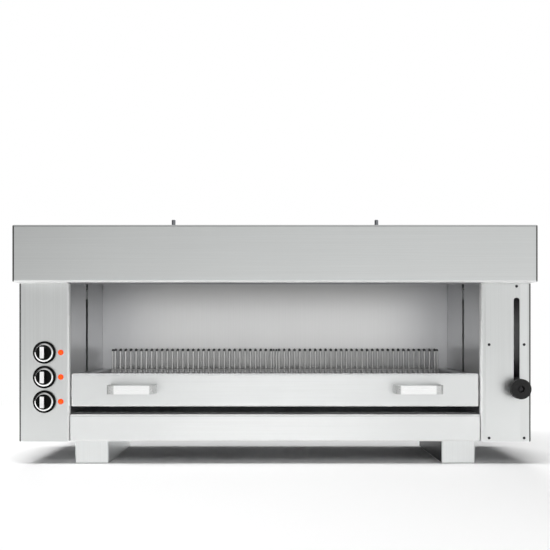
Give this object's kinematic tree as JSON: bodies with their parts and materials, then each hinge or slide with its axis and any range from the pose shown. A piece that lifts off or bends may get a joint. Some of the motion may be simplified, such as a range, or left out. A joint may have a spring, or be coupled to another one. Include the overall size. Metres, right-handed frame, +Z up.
{
  "type": "cheese melter",
  "caption": "Electric cheese melter with a wide hood, rear-bent wire rack on a clamped lift, sliding drip tray and side controls.",
  "frame": {"origin": "on the counter, at the middle of the cabinet's width and overall depth", "axes": "+X to the right as seen from the front, +Y to the rear, +Z up"},
  "size_m": [1.2, 0.45, 0.5995],
  "materials": {
    "hood_steel": "fine satin",
    "body_steel": "fine satin",
    "feet_steel": "fine satin",
    "tray_steel": "fine satin",
    "liner_steel": "satin, heat tinted",
    "hidden_steel": "galvanised",
    "polished_steel": "polished",
    "rack_wire": "bright plated",
    "screw_steel": "bright",
    "mechanism_steel": "machined",
    "guide_chrome": "ground",
    "bush_brass": "turned",
    "element_steel": "dark oxide",
    "insulation": "mineral wool",
    "terminal_plastic": "matte",
    "gland_plastic": "matte",
    "regulator_plastic": "matte",
    "lamp_plastic": "glossy, translucent",
    "knob_plastic": "satin black",
    "marker_plastic": "white",
    "grip_plastic": "satin black"
  },
  "bodies": {
    "cabinet": {"left_foot_rail": "feet_steel", "right_foot_rail": "feet_steel", "base_pan": "hidden_steel", "left_side_panel": "body_steel", "right_side_panel": "body_steel", "rear_panel": "body_steel", "control_fascia": "body_steel", "right_column_frame": "body_steel", "slot_cover_plate": "body_steel", "panel_screws": "screw_steel", "left_liner": "liner_steel", "right_liner": "liner_steel", "back_liner": "liner_steel", "cavity_floor": "liner_steel", "lower_front_panel": "body_steel", "hood_shell": "hood_steel", "heat_reflector": "liner_steel", "element_supports": "mechanism_steel", "element_left": "element_steel", "element_centre": "element_steel", "element_right": "element_steel", "ceiling_insulation": "insulation", "hanging_studs": "mechanism_steel", "guide_rods": "guide_chrome", "guide_brackets": "hidden_steel", "tray_runners": "liner_steel", "terminal_block": "terminal_plastic", "cable_gland": "gland_plastic", "energy_regulators": "regulator_plastic", "lamp_bodies": "regulator_plastic", "lamp_lens_upper": "lamp_plastic", "lamp_lens_middle": "lamp_plastic", "lamp_lens_lower": "lamp_plastic"},
    "rack_carriage": {"rack_grid_left": "rack_wire", "rack_grid_right": "rack_wire", "rack_frame": "liner_steel", "lift_blocks": "mechanism_steel", "lift_bushes": "bush_brass", "lift_arm": "mechanism_steel", "clamp_stud": "mechanism_steel", "clamp_washer": "mechanism_steel"},
    "clamp_knob": {"lift_knob": "grip_plastic", "lift_knob_insert": "bush_brass"},
    "drip_tray_unit": {"drip_tray": "tray_steel", "tray_front": "tray_steel", "left_tray_handle": "polished_steel", "right_tray_handle": "polished_steel"},
    "control_knob_upper": {"knob_upper": "knob_plastic", "knob_ring_upper": "polished_steel", "knob_marker_upper": "marker_plastic", "knob_shaft_upper": "mechanism_steel"},
    "control_knob_middle": {"knob_middle": "knob_plastic", "knob_ring_middle": "polished_steel", "knob_marker_middle": "marker_plastic", "knob_shaft_middle": "mechanism_steel"},
    "control_knob_lower": {"knob_lower": "knob_plastic", "knob_ring_lower": "polished_steel", "knob_marker_lower": "marker_plastic", "knob_shaft_lower": "mechanism_steel"}
  },
  "joints": [
    {"name": "rack_lift", "type": "slide", "parent": "cabinet", "child": "rack_carriage", "axis": [0, 0, 1], "range_m": [0, 0.185]},
    {"name": "lift_knob_turn", "type": "hinge", "parent": "rack_carriage", "child": "clamp_knob", "pos_m": [0.5655, -0.1995, 0.18], "axis": [0, -1, 0], "range_deg": [0, 180]},
    {"name": "tray_slide", "type": "slide", "parent": "cabinet", "child": "drip_tray_unit", "axis": [0, -1, 0], "range_m": [0, 0.25]},
    {"name": "knob_upper_turn", "type": "hinge", "parent": "cabinet", "child": "control_knob_upper", "pos_m": [-0.5395, -0.177, 0.2635], "axis": [0, 1, 0], "range_deg": [0, 300]},
    {"name": "knob_middle_turn", "type": "hinge", "parent": "cabinet", "child": "control_knob_middle", "pos_m": [-0.5395, -0.177, 0.206], "axis": [0, 1, 0], "range_deg": [0, 300]},
    {"name": "knob_lower_turn", "type": "hinge", "parent": "cabinet", "child": "control_knob_lower", "pos_m": [-0.5395, -0.177, 0.1485], "axis": [0, 1, 0], "range_deg": [0, 300]}
  ]
}
